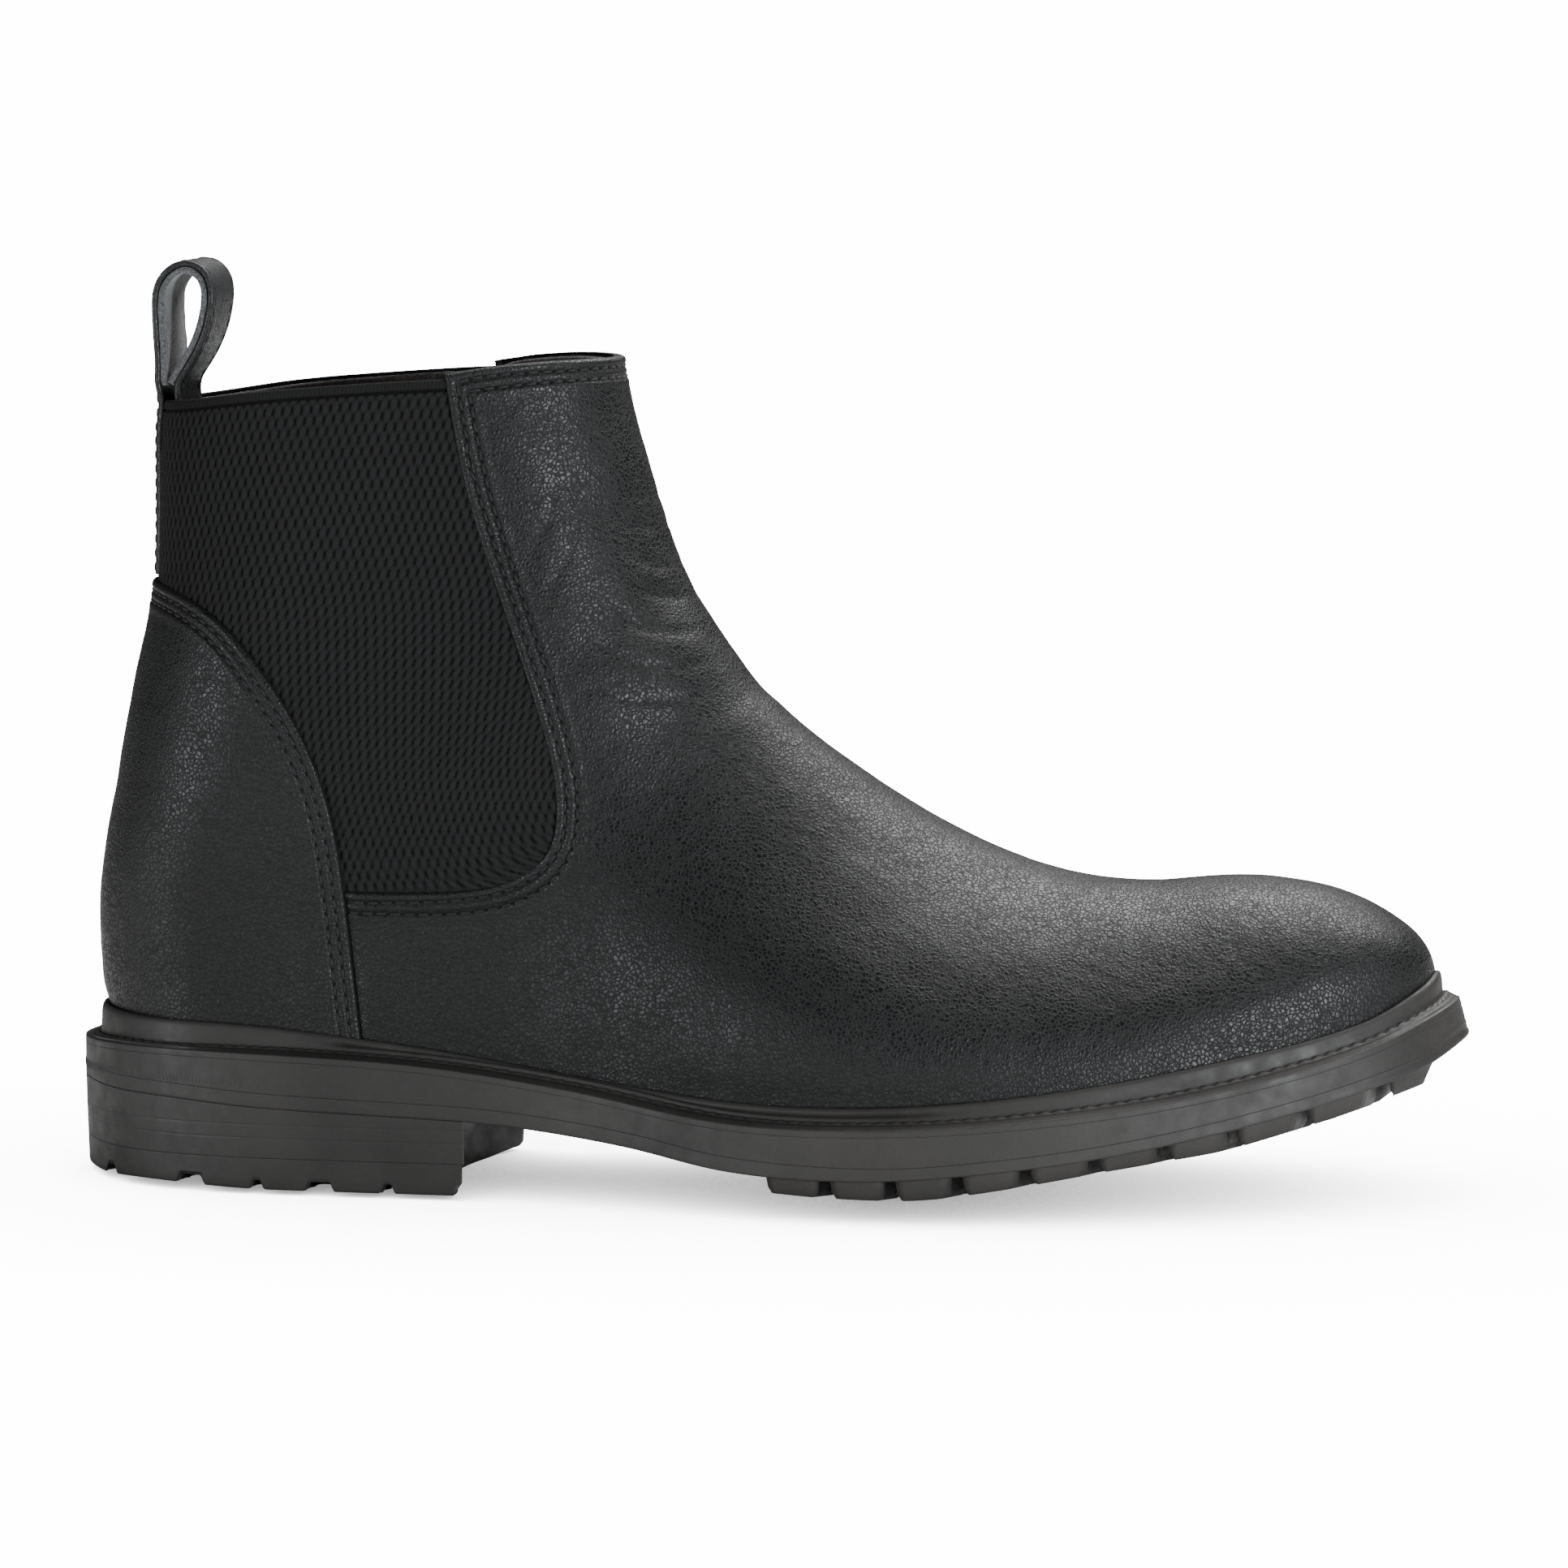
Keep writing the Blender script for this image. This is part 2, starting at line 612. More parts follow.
def vamp():
    """Points, faces and groove share of the front, which runs round to the quarters."""
    params, faces = upper_grid(np.linspace(-1, 1, 341), vamp_top_z, drops=RIM_DROPS)
    params, faces, rim = trim(params, faces, lambda p: outside_window(p) - PANEL_STRIP)
    params, faces = add_strip(params, faces, rim, gore_edge, PANEL_STRIP, STRIP_PROFILE)
    params, faces, _ = trim(params, faces, lambda p: ahead_of_quarter(p) + VAMP_UNDERLAP)
    params, faces, _ = trim(params, faces, above_ledge(LEATHER_FOOT))
    at = places(params)
    _, to_gore = gore_edge.nearest(at)
    to_top = np.maximum(vamp_top_z(at[:, 0]) - at[:, 2], 0)
    to_rim = np.minimum(to_gore, to_top)
    height = seam_profile(to_rim) + leather_relief(at)
    height -= 0.9 * (1 - smoothstep(ahead_of_quarter(at), -0.5, 2.0))
    return panel_points(params, height), faces, groove_share(to_rim)


def heel_quarter(side):
    """Points, faces and groove share of the heel's leather on one side."""
    top = line_through([(-160, 134), (0, 134)])
    params, faces = upper_grid(side_angles(0.02, 170, side), top, 1.0, 0.5, 1.0, 12)
    params, faces, rim = trim(params, faces, lambda p: -ahead_of_quarter(p) - PANEL_STRIP)
    params, faces = add_strip(params, faces, rim, quarter_edge, PANEL_STRIP, STRIP_PROFILE)
    params, faces, _ = trim(params, faces, above_ledge(LEATHER_FOOT))
    at = places(params)
    _, to_edge = quarter_edge.nearest(at)
    height = seam_profile(to_edge) + leather_relief(at)
    height += 0.35 * (1 - smoothstep(to_edge, 6, 26))
    height -= 0.55 * np.exp(-(at[:, 1] / 0.7) ** 2) * (at[:, 0] < -100)
    return panel_points(params, height), faces, groove_share(to_edge)


# ---- elastic gore ----------------------------------------------------------------------------
WEAVE_PITCH, WEAVE_ROW, WEAVE_HEIGHT = 2.13, 2.4, 0.5
WEAVE_WIDTH, WEAVE_LENGTH = 0.98, 1.85
SELVEDGE, SELVEDGE_PITCH = 2.3, 0.85
GORE_DEPTH = 1.2


def weave(across, down):
    """Relief of the elastic, 0 to 1: staggered upright ovals with slots between them."""
    across = across + 0.05 * down
    height = np.zeros(len(across))
    for shift in (0.0, 0.5):
        a = ((across / WEAVE_PITCH + shift) % 1.0 - 0.5) * WEAVE_PITCH / WEAVE_WIDTH
        b = ((down / (2 * WEAVE_ROW) + shift) % 1.0 - 0.5) * 2 * WEAVE_ROW / WEAVE_LENGTH
        height = np.maximum(height, np.sqrt(np.maximum(1 - np.abs(a) ** 2.6 - np.abs(b) ** 2.6, 0)))
    return height


def gore(side):
    """Points, faces and the weave's share of each point, for the elastic of one side."""
    phi = side_angles(0.2, 420, side)
    params, faces = upper_grid(phi, collar_z, 3.0, 0.28, 0.34, 11, (1.2, 0.8, 0.35))
    rows = places(params).reshape(-1, len(phi), 3)
    steps = np.linalg.norm(np.diff(rows, axis=1), axis=2)
    across = np.concatenate([np.zeros((len(rows), 1)), np.cumsum(steps, axis=1)], axis=1)
    across = across[:, -1:] - across if side > 0 else across
    params = np.hstack([params, across.reshape(-1, 1)])
    params, faces, _ = trim(params, faces, lambda p: GORE_UNDERLAP - outside_window(p))
    params, faces, _ = trim(params, faces, lambda p: ahead_of_quarter(p) + GORE_UNDERLAP)
    at = places(params)
    down = collar_z(at[:, 0]) - at[:, 2]
    body = smoothstep(down, SELVEDGE, SELVEDGE + 0.5)
    ribs = 0.5 + 0.5 * np.cos(2 * np.pi * params[:, 3] / SELVEDGE_PITCH)
    share = body * weave(params[:, 3], down - SELVEDGE) + (1 - body) * (0.6 + 0.3 * ribs)
    dark = np.exp(-((down - SELVEDGE) / 0.3) ** 2)
    height = WEAVE_HEIGHT * share - 0.35 * dark - 0.5 * np.clip(1 - down / 0.5, 0, 1) ** 2
    height += 0.25 * waves(at, 30, 11)
    return panel_points(params, height - GORE_DEPTH), faces, share * (1 - dark)


def lining():
    """Inside of the boot, with the lining's own edge along the collar."""
    def top(x):
        w = smoothstep(x, -68, -60)
        return (collar_z(x) * (1 - w) + vamp_top_z(x) * w) - 0.8

    phi = np.linspace(-1, 1, 201)
    params, faces = upper_grid(phi, top, 4.0, 0.5, 1.8, drops=(-1.0, -0.6, -0.25))
    params, faces, _ = trim(params, faces, above_ledge(LINING_FOOT))
    at = places(params)
    down = np.maximum(top(at[:, 0]) - at[:, 2], 0)
    height = -LINING_DEPTH + 0.10 * waves(at, 12, 21) + 0.05 * np.cos(down * 2 * np.pi / 6) * (down < 6)
    height += 0.3 * np.clip(1 - down / 0.6, 0, 1) ** 2
    return panel_points(params, height), [f[::-1] for f in faces]


# ---- sole ------------------------------------------------------------------------------------
LOOP_STEP = 0.5
SCALLOP_PITCH = 3.2
RIB_PITCH, RIB_STEP = 0.9, 0.225
RIB_PROFILE = (    # (drop from the band's top, share of the rib, inset)
    (0.0, 0.0, 0.4), (0.02, 0.0, 0.16), (0.25, 0.9, 0.26), (1.2, 1.0, 0.13),
    (2.2, 1.0, 0.13), (3.2, 0.9, 0.26), (3.45, 0.0, 0.16), (3.47, 0.0, 0.4),
)
OUTSOLE_THICK, FOOT_LIFT, UNDER_CROWN = 3.2, 0.5, 4.2
HEEL_TOP = 8.0
HEEL_TAPER = 0.6
BREAST_RADIUS, BREAST_CENTRE = 72.0, 3.0
WALL_POINTS, BREAST_POINTS = 520, 120
CORNER_TOP, CORNER_X = 4.5, (-62.2, -59.0)
loop = plan_loop(LOOP_STEP)
loop_in = inward(loop)
loop_s = np.arange(len(loop)) * LOOP_STEP


def upper_tree():
    """The upper's face without its details, for finding how far in it stands."""
    phi = np.linspace(-1, 1, 161)
    params, faces = upper_grid(phi, vamp_top_z, 1.0, 0.5, 2.0)
    points = panel_points(params, leather_relief(places(params)))
    end = np.arange(len(points) - len(phi), len(points))
    cap = [[a, b, len(points)] for a, b in zip(end[:-1], end[1:])]
    points = np.vstack([points, points[end].mean(axis=0)])
    return BVHTree.FromPolygons(points.tolist(), faces + cap)


def reach_of_upper():
    """How far inside the sole's outline the upper stands, just above the feather line."""
    tree = upper_tree()
    reach = []
    for (x, y), (nx, ny) in zip(loop, loop_in):
        start = Vector((x, y, float(feather_z(x)) + 0.6))
        distance = tree.ray_cast(start, Vector((nx, ny, 0)), 30.0)[3]
        reach.append(np.nan if distance is None else distance)
    reach = np.array(reach)
    good = ~np.isnan(reach)
    reach = np.interp(np.arange(len(reach)), np.flatnonzero(good), reach[good])
    window = 15
    padded = np.concatenate([reach[-window:], reach, reach[:window]])
    kernel = np.hanning(2 * window + 1)
    return np.convolve(padded, kernel / kernel.sum(), mode="valid")


reach = reach_of_upper()


def loop_rows(rows):
    """Points of rows round the sole, each a pair of (distance in, height)."""
    points = []
    for inset, z in rows:
        inset = np.broadcast_to(inset, len(loop))
        points.append(np.column_stack([loop + loop_in * inset[:, None], np.broadcast_to(z, len(loop))]))
    return np.vstack(points)


def swept(name, rows, material):
    """A band round the sole from its rows."""
    faces = grid_faces(len(rows), len(loop), closed=True, flip=True)
    return make_piece(name, loop_rows(rows), faces, material)


RAND = 1.7          # the rand stands this far outside the upper
LEDGE_RISE = 1.2    # the ledge slopes down by this towards the sole's edge
BEAD_HEIGHT = 0.42
BEAD_PROFILE = ((0.4, 0.0), (0.55, 0.6), (0.8, 1.0), (1.05, 0.95), (1.3, 0.8), (1.55, 0.45), (1.7, 0.0))


def toe_lean(share):
    """The sole's wall leans back at the toe: share 1 at its top, 0 at its foot."""
    return 2.0 * share * smoothstep(loop[:, 0], 118, 150)


def welt_rows():
    """Rand, scalloped bead, ledge and edge of the welt, from under the upper outward."""
    top, edge = feather_z(loop[:, 0]), ledge_z(loop[:, 0])
    foot = edge + LEDGE_RISE
    face = reach - RAND
    bead = BEAD_HEIGHT * np.sqrt(0.5 + 0.5 * np.cos(2 * np.pi * loop_s / SCALLOP_PITCH))
    lean, low_lean = toe_lean(1.0), toe_lean(0.85)
    rows = [(reach + 1.0, top - 1.4), (reach + 0.15, top - 0.25), (reach - 0.25, top - 0.02),
            (reach - 0.7, top - 0.02), (reach - 1.15, top - 0.3), (reach - 1.4, top - 0.9),
            (face + 0.1, top - 2.0), (face, foot + 0.9), (face - 0.05, foot + 0.2),
            (face - 0.25, foot - 0.25)]
    for offset, share in BEAD_PROFILE:
        slope = foot - 0.25 - 0.16 * offset
        rows.append((face - offset, slope + bead * share - 0.12 * (share == 0)))
    for t in (0.0, 0.4, 0.75, 1.0):
        rows.append(((face - 2.0) * (1 - t) + (0.5 + lean) * t, (foot - 0.55) * (1 - t) + (edge + 0.05) * t))
    return rows + [(0.3 + lean, edge + 0.04), (0.12 + lean, edge - 0.04), (0.02 + lean, edge - 0.2),
                   (lean, edge - 0.5), (toe_lean(0.87), edge - 1.2), (low_lean, edge - 1.4),
                   (0.03 + low_lean, edge - 1.46), (0.5 + lean, edge - 1.46)]


def sidewall_rows():
    """Midsole's side, from under the welt to the parting line."""
    top, low = ledge_z(loop[:, 0]) - 1.47, foot_z(loop[:, 0]) + OUTSOLE_THICK
    lean = toe_lean(0.85)
    rows = [(0.5 + toe_lean(1.0), top + 0.02), (0.03 + lean, top), (lean, top - 0.06),
            (toe_lean(0.84), top - 0.25)]
    rows += [(toe_lean(0.84 - 0.5 * t), top * (1 - t) + low * t) for t in (0.2, 0.4, 0.6, 0.8)]
    return rows + [(toe_lean(0.33), low + 0.25), (toe_lean(0.32), low + 0.08),
                   (0.03 + toe_lean(0.31), low + 0.02), (0.5 + toe_lean(0.31), low)]


def outsole_rows():
    """Edge of the outsole and its underside, drawn in to a middle line."""
    x = loop[:, 0]
    top, low = foot_z(x) + OUTSOLE_THICK, foot_z(x) + FOOT_LIFT * smoothstep(x, 10, 40)
    lean = toe_lean(0.31)
    points = loop_rows([
        (0.5 + lean, top), (0.03 + lean, top - 0.02), (lean, top - 0.08), (toe_lean(0.3), top - 0.25),
        (toe_lean(0.2), top - 1.2), (0.0, low + 1.0), (0.0, low + 0.45), (0.05, low + 0.2),
        (0.25, low + 0.02), (0.5, low), (1.1, low)])
    ring = points[-len(loop):, :2]
    spine_x = np.clip(ring[:, 0], -118, 118)
    spine = np.column_stack([spine_x, np.interp(spine_x, [-118, 0, 118], [0, -5, 8])])
    blocks = [points]
    for t in (0.12, 0.25, 0.4, 0.55, 0.7, 0.85, 1.0):
        flat = ring * (1 - t) + spine * t
        crown = UNDER_CROWN * smoothstep(t, 0.22, 0.8) * smoothstep(flat[:, 0], -40, 10)
        crown *= 1 - smoothstep(flat[:, 0], 105, 138)
        blocks.append(np.column_stack([flat, foot_z(flat[:, 0]) + FOOT_LIFT - crown]))
    return np.vstack(blocks)


def outsole(material):
    points = outsole_rows()
    faces = grid_faces(len(points) // len(loop), len(loop), closed=True, flip=True)
    return make_piece("outsole_sheet", points, faces, material)


def sole_ribs(material):
    """Fine upright ribs moulded under the ledge, from the heel's back to the waist."""
    fine = plan_loop(RIB_STEP)
    keep = np.flatnonzero(fine[:, 0] < -50)
    split = np.flatnonzero(np.diff(keep) > 1)
    order = np.concatenate([keep[split[0] + 1:], keep[:split[0] + 1]]) if len(split) else keep
    flat, away, s = fine[order], inward(fine)[order], order * RIB_STEP
    fade = 1 - smoothstep(flat[:, 0], -120, -52)
    rib = (0.04 + 0.2 * fade) * (0.5 + 0.5 * np.cos(2 * np.pi * s / RIB_PITCH))
    top = ledge_z(flat[:, 0]) - 4.4
    blocks = [np.column_stack([flat + away * (inset - rib * share)[:, None], top - drop])
              for drop, share, inset in RIB_PROFILE]
    faces = grid_faces(len(blocks), len(order), flip=True)
    return make_piece("sole_ribs", np.vstack(blocks), faces, material)


# ---- heel ------------------------------------------------------------------------------------
def breast_x(y):
    """The heel's hollow front, an arc in plan."""
    return BREAST_CENTRE - np.sqrt(BREAST_RADIUS ** 2 - y ** 2)


def heel_loop(inset):
    """Outline of the heel at an inset: round the back, then across its hollow front."""
    outline = loop + loop_in * inset
    heel = outline[:, 0] < breast_x(np.clip(outline[:, 1], -60, 60))
    start = np.flatnonzero(heel & ~np.roll(heel, 1))[0]
    back = np.roll(outline, -start, axis=0)[:heel.sum()]
    y = np.linspace(back[-1, 1], back[0, 1], 72)[1:-1]
    ring = np.vstack([back, np.column_stack([breast_x(y), y]), back[:1]])
    s = run_length(ring)
    corner = s[len(back) - 1]
    wanted = np.concatenate([np.linspace(0, corner, WALL_POINTS, endpoint=False),
                             np.linspace(corner, s[-1], BREAST_POINTS, endpoint=False)])
    return np.column_stack([np.interp(wanted, s, ring[:, 0]), np.interp(wanted, s, ring[:, 1])])


def heel_taper(z):
    return HEEL_TAPER * np.clip((20 - z) / 20, 0, 1)


def heel_stack(name, rows, material, capped):
    """Wall from rows of (inset added, height or function of the outline), and a cap."""
    blocks, count = [], WALL_POINTS + BREAST_POINTS
    for extra, z in rows:
        ring = heel_loop(extra)
        heights = z(ring) if callable(z) else np.full(len(ring), z)
        ring = heel_loop(heel_taper(heights.mean()) + extra)
        corner = np.interp(heights, [0.0, CORNER_TOP], CORNER_X)
        ring[:, 0] = np.where(heights < CORNER_TOP, np.minimum(ring[:, 0], corner), ring[:, 0])
        blocks.append(np.column_stack([ring, heights]))
    faces = grid_faces(len(rows), count, closed=True, flip=True).tolist()
    if capped:
        faces.append(list(range((len(rows) - 1) * count, len(rows) * count)))
    return make_piece(name, np.vstack(blocks), faces, material)


def over_line(line, steps):
    """Rows of (inset, height over a line of the outline) from pairs of numbers."""
    return [(inset, lambda ring, rise=rise: line(ring) + rise) for inset, rise in steps]


def heel_block_rows():
    """Wall of the heel under the outsole, with two fine lines round it."""
    rows = over_line(lambda ring: foot_z(ring[:, 0]), ((0.5, 0.1), (0.03, 0.02), (0.0, -0.05), (0.0, -0.3)))
    for line in (15.3, 12.4):
        rows += [(inset, line + over) for inset, over in (
            (0.0, 0.45), (0.0, 0.2), (0.04, 0.06), (0.04, -0.06), (0.0, -0.2), (0.0, -0.45))]
    return rows + [(inset, HEEL_TOP + over) for inset, over in (
        (0.0, 0.3), (0.0, 0.1), (0.03, 0.04), (0.5, 0.04))]


NOTCHES = ((-142.6, 3.0), (-123.6, 6.4), (-106.5, 3.0), (-94.0, 6.3), (-77.1, 3.0))
NOTCH_DEPTH = 2.0


def heel_floor(ring):
    """Height of the heel's ground edge: notches between its treads, the rear lifted a little."""
    x, y = ring.T
    rise = np.zeros(len(ring))
    side = smoothstep(np.abs(y), 15, 20)
    for start, width in NOTCHES:
        middle = np.abs(x - start - width / 2)
        open_share = 1 - smoothstep(middle, width / 2 - 0.8, width / 2 + 0.4)
        rise = np.maximum(rise, NOTCH_DEPTH * open_share * side)
    return rise + 1.3 * smoothstep(-x, 101, 142) + 1.1 * smoothstep(np.abs(y), 18, 37)


def top_lift_rows():
    """The heel's bottom layer, rounded into its tread and drawn in under it."""
    rows = [(0.5, HEEL_TOP + 0.02), (0.03, HEEL_TOP), (0.0, HEEL_TOP - 0.06), (0.0, HEEL_TOP - 0.3),
            (0.0, 6.0), (0.0, CORNER_TOP), (0.0, 4.0)]
    rows += over_line(heel_floor, ((0.0, 0.7), (0.1, 0.3), (0.35, 0.06)))
    return rows + [(inset, heel_floor) for inset in (0.8, 2.0, 4.0, 6.0, 8.0, 10.0, 13.0, 16.0)]


# ---- forefoot lugs ---------------------------------------------------------------------------
LUG_PITCH, LUG_LENGTH, LUG_START, LUG_ROWS = 14.0, 11.0, 9.0, 9
LUG_REACH, LUG_SLANT = 17.0, 2.0
CROWN_SLOPE, CROWN_FLAT = 0.128, 8.0
LUG_PROFILE = ((-0.1, None), (0.35, 1.4), (0.8, 0.55), (0.95, 0.2), (1.2, 0.03), (1.6, 0.0))


def tread_height(x, y):
    return tread_z(x) + CROWN_SLOPE * np.maximum(np.abs(y) - CROWN_FLAT, 0)


def lug_plans():
    """Outlines of the lugs: two rows down each side, and one across the toe."""
    lateral, medial = plan_edges(1.4)
    plans = []
    for i in range(LUG_ROWS):
        x0 = LUG_START + i * LUG_PITCH
        x1 = x0 + LUG_LENGTH
        xm = (x0 + x1) / 2
        for edge, out in ((lateral, -1), (medial, 1)):
            reach_y = float(edge(xm)) - out * LUG_REACH
            outer = [(x, float(edge(x))) for x in np.linspace(x0, x1, 7)]
            plans.append(outer + [(x1 + LUG_SLANT, reach_y), (x0 + LUG_SLANT, reach_y)])
        mid = float(lateral(x0) + medial(x0)) / 2
        half = float(medial(x0) - lateral(x0)) / 2 - LUG_REACH - 3.5
        for out in (-1, 1):
            near, far = mid + out * 1.5, mid + out * half
            if half > 6:
                plans.append([(x0 + 7, near), (x1 + 6, near), (x1 + 3, far), (x0 + 4, far)])
    xs = np.linspace(137, 144.5, 6)
    plans.append([(x, float(lateral(x))) for x in xs] + [(x, float(medial(x))) for x in xs[::-1]])
    return plans


def shrink(ring, distance):
    """A polygon drawn in on every side."""
    ahead = np.roll(ring, -1, axis=0) - ring
    ahead /= np.linalg.norm(ahead, axis=1)[:, None]
    behind = np.roll(ahead, 1, axis=0)
    left = np.stack([-ahead[:, 1] - behind[:, 1], ahead[:, 0] + behind[:, 0]], axis=1)
    dot = 1 + (ahead * behind).sum(axis=1)
    return ring + left / np.maximum(dot, 0.4)[:, None] * distance


def lug_mesh(plan):
    """One lug, from inside the outsole down to its bevelled tread."""
    ring = np.array(plan)
    area = np.sum(ring[:, 0] * np.roll(ring[:, 1], -1) - np.roll(ring[:, 0], -1) * ring[:, 1])
    ring = ring if area > 0 else ring[::-1]
    points = []
    for inset, over in LUG_PROFILE:
        flat = shrink(ring, inset)
        if over is None:
            z = foot_z(flat[:, 0]) + 0.8
        else:
            z = np.maximum(tread_height(flat[:, 0], flat[:, 1]), 0) + over
        points += np.column_stack([flat, z]).tolist()
    faces = grid_faces(len(LUG_PROFILE), len(ring), closed=True, flip=True).tolist()
    faces.append(list(range(len(points) - len(ring), len(points)))[::-1])
    return points, faces


def lugs(material):
    return make_piece("outsole_lugs", *joined(lug_mesh(plan) for plan in lug_plans()), material)


# ---- stitches --------------------------------------------------------------------------------
STITCH_PITCH, STITCH_LENGTH, STITCH_START = 3.05, 2.5, 0.3
STITCH_HALF, STITCH_LIFT, HOLE_LIFT = 0.34, 0.05, 0.08


def stitch_mesh(starts, ends, ups):
    """One small mesh of thread segments, each a twisted capsule lying in its groove."""
    rings, spokes = 7, 8
    t = np.linspace(-1, 1, rings)
    swell = np.sqrt(np.maximum(1 - np.abs(t) ** 3.0, 0)) * 0.98 + 0.02
    angle = np.arange(spokes) * 2 * np.pi / spokes
    points, faces = [], []
    for a, b, up in zip(starts, ends, ups):
        along = (b - a) / max(np.linalg.norm(b - a), 1e-6)
        side = np.cross(up, along)
        side /= max(np.linalg.norm(side), 1e-6)
        up = np.cross(along, side)
        middle, half = (a + b) / 2, np.linalg.norm(b - a) / 2
        first = len(points)
        for k in range(rings):
            centre = middle + along * half * t[k] + up * (0.18 * (1 - t[k] ** 2) - 0.1)
            twist = 0.9 * t[k]
            for w in angle:
                ridge = 1 + 0.10 * math.cos(2 * (w - twist))
                points.append(centre + (side * math.cos(w) + up * math.sin(w) * 0.85)
                              * STITCH_HALF * swell[k] * ridge)
        faces += (grid_faces(rings, spokes, closed=True) + first).tolist()
        faces.append([first + k for k in range(spokes)])
        faces.append([first + (rings - 1) * spokes + k for k in range(spokes)][::-1])
    return points, faces


def along_path(path, tree):
    """Starts, ends and upward directions of stitches along a path over a surface."""
    s = run_length(path)
    starts, ends, ups = [], [], []
    for k in range(int(s[-1] / STITCH_PITCH)):
        start = k * STITCH_PITCH + STITCH_START
        pair = []
        for at in (start, start + STITCH_LENGTH):
            p = Vector([np.interp(at, s, path[:, i]) for i in range(3)])
            near, normal, _, _ = tree.find_nearest(p)
            pair.append((np.array(near + normal * STITCH_LIFT), np.array(normal)))
        starts.append(pair[0][0])
        ends.append(pair[1][0])
        ups.append(pair[0][1] + pair[1][1])
    return starts, ends, ups


def hole_mesh(starts, ends, ups):
    """Flat dark spots where the thread goes into the leather, between the stitches."""
    angle = np.arange(8) * np.pi / 4
    points, faces = [], []
    for a, b, up in zip(ends[:-1], starts[1:], ups[:-1]):
        gap = b - a
        if np.linalg.norm(gap) > 2.0:
            continue
        along = gap / max(np.linalg.norm(gap), 1e-6)
        up = up / np.linalg.norm(up)
        side = np.cross(up, along)
        middle = (a + b) / 2 + up * HOLE_LIFT
        faces.append([len(points) + k for k in range(8)])
        points += [middle + along * math.cos(w) * 0.48 + side * math.sin(w) * 0.36 for w in angle]
    return points, faces


def row_path(line, side, offset, keep):
    """Points of a row beside a side view line, on one side of the boot."""
    flat = curve_points(line, 0.5)
    flat = flat + left_of(flat) * offset
    u, phi = locate(flat[:, 0], flat[:, 1], side)
    points = upper_point(u, phi)
    return points[keep(points)]


# ---- pull strap ------------------------------------------------------------------------------
STRAP_HALF, STRAP_PLY, STRAP_SEAM, STRAP_STEP = 9.5, 1.35, 2.0, 0.6
SEAM_BAND = 3.2     # the strap's edges have closer points over this width
STRAP_PATH = [
    (-133.9, 131.2), (-133.6, 142), (-133.5, 156), (-133.3, 164), (-132.6, 169.5), (-132.1, 174),
    (-132.2, 180.5), (-132.6, 188.9), (-132.0, 193.8), (-129.8, 197.0), (-126.0, 198.7),
    (-122.6, 197.8), (-120.5, 194.9), (-120.3, 189), (-121.9, 182.9), (-125.0, 176.9),
    (-127.8, 172.4), (-129.2, 168), (-129.7, 163), (-129.9, 157.2),
]
INNER_PATH = [
    (-130.7, 172.2), (-130.8, 180), (-131.2, 188.7), (-130.7, 193.1), (-129.0, 195.7), (-126.0, 197.2),
    (-123.6, 196.4), (-122.0, 194.2), (-121.8, 189.2), (-123.3, 183.5), (-126.2, 177.8), (-129.4, 172.6),
]


def strap_profile(half, thick, groove):
    """Cross-section of a strap: points of (across, out), clockwise from its face."""
    r = thick * 0.42
    across = np.concatenate([np.linspace(-half + r, -half + SEAM_BAND, 9)[:-1],
                             np.linspace(-half + SEAM_BAND, half - SEAM_BAND, 9),
                             np.linspace(half - SEAM_BAND, half - r, 9)[1:]])
    dip = groove * np.exp(-((np.abs(across) - (half - STRAP_SEAM)) / 0.38) ** 2)
    face = np.column_stack([across, thick / 2 - dip])
    angles = np.linspace(90, -90, 7)[1:-1] * math.pi / 180
    right = np.column_stack([half - r + r * np.cos(angles), thick / 2 * np.sin(angles)])
    back = np.column_stack([across[::-1], np.full(len(across), -thick / 2)])
    left = np.column_stack([-half + r - r * np.cos(angles), -thick / 2 * np.sin(angles)])
    return np.vstack([face, right, back, left])


def hug(x, y, z):
    """How far the strap's sides bend forward round the back of the collar."""
    return 1.9 * (y / STRAP_HALF) ** 2 * (1 - smoothstep(z, 167, 174))


def strap_points(path, profile):
    """Points of the profile carried along a path, and how many rows they make."""
    flat = curve_points(path, STRAP_STEP)
    rows = []
    for (x, z), (nx, nz) in zip(flat, left_of(flat)):
        px, pz = x + nx * profile[:, 1], z + nz * profile[:, 1]
        rows.append(np.column_stack([px + hug(px, profile[:, 0], pz), profile[:, 0], pz]))
    return np.vstack(rows), len(flat)


def strap(name, path, thick, groove, roughness_size, material):
    """One ply of the pull strap, bending at the loop's hinge."""
    profile = strap_profile(STRAP_HALF, thick, groove)
    points, rows = strap_points(path, profile)
    points = points + roughness_size * waves(points, 3.0, 31)[:, None] * [0.6, 0.15, 0.6]
    count = len(profile)
    faces = grid_faces(rows, count, closed=True, flip=True).tolist()
    faces += [list(range(count)), list(range((rows - 1) * count, rows * count))[::-1]]
    piece = make_piece(name, points, faces, material, None)
    blend_strap(piece)
    return piece


def blend_strap(piece):
    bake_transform(piece)


# ---- materials -------------------------------------------------------------------------------
def nodes_of(name):
    material = bpy.data.materials.new(name)
    material.use_nodes = True
    return material, material.node_tree


